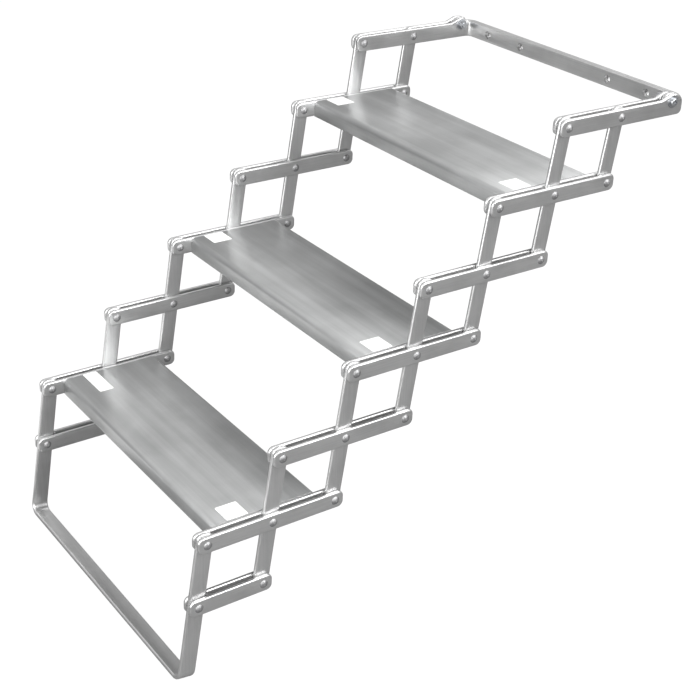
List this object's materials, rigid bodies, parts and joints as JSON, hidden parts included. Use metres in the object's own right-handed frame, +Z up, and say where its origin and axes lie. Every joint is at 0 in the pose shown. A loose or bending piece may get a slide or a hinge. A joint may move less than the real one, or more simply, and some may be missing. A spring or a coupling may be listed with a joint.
{
  "type": "caravan entry step",
  "caption": "Folding scissor entry step of riveted flat aluminium bar, hung from a bar under a caravan door, with treads that fold together and swing up.",
  "frame": {"origin": "centre of the mounting bar's back face, at the height of its screw holes", "axes": "+X across the step to the right of someone who faces the door, +Y into the vehicle, +Z up"},
  "size_m": [0.52, 0.8537, 0.7239],
  "materials": {
    "bar_aluminium": "mill finish flat bar",
    "tread_aluminium": "brushed sheet",
    "rivet_aluminium": "satin",
    "zinc_plated_steel": "zinc plated"
  },
  "bodies": {
    "mount": {"mounting_bar": "bar_aluminium", "pivot_bolts": "zinc_plated_steel", "pivot_washers": "zinc_plated_steel", "pivot_nuts": "zinc_plated_steel"},
    "hanger": {"hanger_frame": "bar_aluminium", "hanger_outer_bar_left": "bar_aluminium", "hanger_outer_bar_right": "bar_aluminium", "hanger_rivets": "rivet_aluminium"},
    "short_links": {"short_link_left": "bar_aluminium", "short_link_right": "bar_aluminium"},
    "links_1": {"link_1_left": "bar_aluminium", "link_1_right": "bar_aluminium"},
    "links_2": {"link_2_left": "bar_aluminium", "link_2_right": "bar_aluminium"},
    "links_3": {"link_3_left": "bar_aluminium", "link_3_right": "bar_aluminium"},
    "links_4": {"link_4_left": "bar_aluminium", "link_4_right": "bar_aluminium"},
    "links_5": {"link_5_left": "bar_aluminium", "link_5_right": "bar_aluminium"},
    "leg": {"leg_frame": "bar_aluminium"},
    "upper_tread": {"upper_tread_inner_bar_left": "bar_aluminium", "upper_tread_inner_bar_right": "bar_aluminium", "upper_tread_outer_bar_left": "bar_aluminium", "upper_tread_outer_bar_right": "bar_aluminium", "upper_tread_rivets": "rivet_aluminium", "upper_tread_plank": "tread_aluminium"},
    "upper_tie": {"upper_tie_inner_bar_left": "bar_aluminium", "upper_tie_inner_bar_right": "bar_aluminium", "upper_tie_outer_bar_left": "bar_aluminium", "upper_tie_outer_bar_right": "bar_aluminium", "upper_tie_rivets": "rivet_aluminium"},
    "middle_tread": {"middle_tread_inner_bar_left": "bar_aluminium", "middle_tread_inner_bar_right": "bar_aluminium", "middle_tread_outer_bar_left": "bar_aluminium", "middle_tread_outer_bar_right": "bar_aluminium", "middle_tread_rivets": "rivet_aluminium", "middle_tread_plank": "tread_aluminium"},
    "lower_tie": {"lower_tie_inner_bar_left": "bar_aluminium", "lower_tie_inner_bar_right": "bar_aluminium", "lower_tie_outer_bar_left": "bar_aluminium", "lower_tie_outer_bar_right": "bar_aluminium", "lower_tie_rivets": "rivet_aluminium"},
    "lower_tread": {"lower_tread_inner_bar_left": "bar_aluminium", "lower_tread_inner_bar_right": "bar_aluminium", "lower_tread_outer_bar_left": "bar_aluminium", "lower_tread_outer_bar_right": "bar_aluminium", "lower_tread_rivets": "rivet_aluminium", "lower_tread_plank": "tread_aluminium"},
    "foot": {"foot_inner_bar_left": "bar_aluminium", "foot_inner_bar_right": "bar_aluminium", "foot_outer_bar_left": "bar_aluminium", "foot_outer_bar_right": "bar_aluminium", "foot_rivets": "rivet_aluminium", "stop_pins": "rivet_aluminium"}
  },
  "joints": [
    {"name": "swing_up", "type": "hinge", "parent": "mount", "child": "hanger", "pos_m": [0, -0.03115, 0.009], "axis": [-1, 0, 0], "range_deg": [0, 90]},
    {"name": "fold", "type": "hinge", "parent": "hanger", "child": "links_1", "pos_m": [0, -0.23435, 0], "axis": [1, 0, 0], "range_deg": [0, 80.2]},
    {"name": "short_link_fold", "type": "hinge", "parent": "hanger", "child": "short_links", "pos_m": [0, -0.13275, 0], "axis": [1, 0, 0], "range_deg": [0, 80.2]},
    {"name": "upper_tread_level", "type": "hinge", "parent": "links_1", "child": "upper_tread", "pos_m": [0, -0.24792, -0.09655], "axis": [1, 0, 0], "range_deg": [-80.2, 0]},
    {"name": "links_2_fold", "type": "hinge", "parent": "upper_tread", "child": "links_2", "pos_m": [0, -0.34952, -0.09655], "axis": [1, 0, 0], "range_deg": [0, 80.2]},
    {"name": "upper_tie_level", "type": "hinge", "parent": "links_2", "child": "upper_tie", "pos_m": [0, -0.36309, -0.1931], "axis": [1, 0, 0], "range_deg": [-80.2, 0]},
    {"name": "links_3_fold", "type": "hinge", "parent": "upper_tie", "child": "links_3", "pos_m": [0, -0.46469, -0.1931], "axis": [1, 0, 0], "range_deg": [0, 80.2]},
    {"name": "middle_tread_level", "type": "hinge", "parent": "links_3", "child": "middle_tread", "pos_m": [0, -0.47826, -0.28965], "axis": [1, 0, 0], "range_deg": [-80.2, 0]},
    {"name": "links_4_fold", "type": "hinge", "parent": "middle_tread", "child": "links_4", "pos_m": [0, -0.57986, -0.28965], "axis": [1, 0, 0], "range_deg": [0, 80.2]},
    {"name": "lower_tie_level", "type": "hinge", "parent": "links_4", "child": "lower_tie", "pos_m": [0, -0.59343, -0.3862], "axis": [1, 0, 0], "range_deg": [-80.2, 0]},
    {"name": "links_5_fold", "type": "hinge", "parent": "lower_tie", "child": "links_5", "pos_m": [0, -0.69503, -0.3862], "axis": [1, 0, 0], "range_deg": [0, 80.2]},
    {"name": "lower_tread_level", "type": "hinge", "parent": "links_5", "child": "lower_tread", "pos_m": [0, -0.7086, -0.48276], "axis": [1, 0, 0], "range_deg": [-80.2, 0]},
    {"name": "leg_fold", "type": "hinge", "parent": "lower_tread", "child": "leg", "pos_m": [0, -0.8102, -0.48276], "axis": [1, 0, 0], "range_deg": [0, 80.2]},
    {"name": "foot_level", "type": "hinge", "parent": "leg", "child": "foot", "pos_m": [0, -0.82377, -0.57931], "axis": [1, 0, 0], "range_deg": [-80.2, 0]}
  ],
  "couplings": [
    {"joint": "short_link_fold", "follows": "fold", "ratio": 1},
    {"joint": "upper_tread_level", "follows": "fold", "ratio": -1},
    {"joint": "links_2_fold", "follows": "fold", "ratio": 1},
    {"joint": "upper_tie_level", "follows": "fold", "ratio": -1},
    {"joint": "links_3_fold", "follows": "fold", "ratio": 1},
    {"joint": "middle_tread_level", "follows": "fold", "ratio": -1},
    {"joint": "links_4_fold", "follows": "fold", "ratio": 1},
    {"joint": "lower_tie_level", "follows": "fold", "ratio": -1},
    {"joint": "links_5_fold", "follows": "fold", "ratio": 1},
    {"joint": "lower_tread_level", "follows": "fold", "ratio": -1},
    {"joint": "leg_fold", "follows": "fold", "ratio": 1},
    {"joint": "foot_level", "follows": "fold", "ratio": -1}
  ]
}
